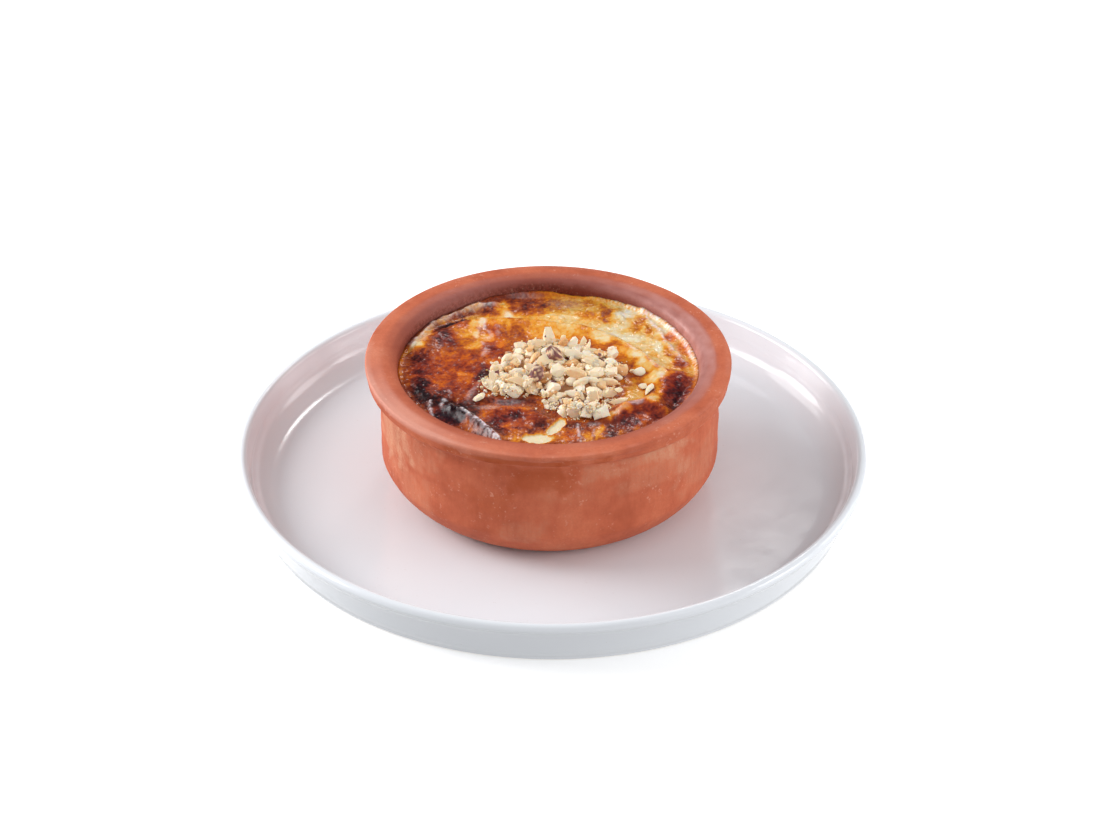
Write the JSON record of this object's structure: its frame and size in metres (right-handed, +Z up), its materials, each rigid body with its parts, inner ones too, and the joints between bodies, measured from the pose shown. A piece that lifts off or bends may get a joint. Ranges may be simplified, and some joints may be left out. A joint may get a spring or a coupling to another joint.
{
  "type": "baked rice pudding",
  "caption": "Oven-browned rice pudding in a small collared clay bowl, topped with a heap of chopped hazelnuts, standing on a white plate with a low upright rim.",
  "frame": {"origin": "middle of the plate's foot, on the surface that it stands on", "axes": "+Z up; -Y towards the diner, whose side of the skin is darkest, and +Y towards the pale back; +X to the diner's right"},
  "size_m": [0.2062, 0.2062, 0.0558],
  "materials": {
    "white_glaze": "glossy white glaze",
    "terracotta": "unglazed matt terracotta with a chalky bloom",
    "baked_skin": "glossy browned milk skin over pale cream",
    "hazelnut": "dry chopped nut"
  },
  "bodies": {
    "root": {"plate": "white_glaze", "clay_bowl": "terracotta", "rice_pudding": "baked_skin", "hazelnut_heap": "hazelnut"}
  },
  "joints": []
}
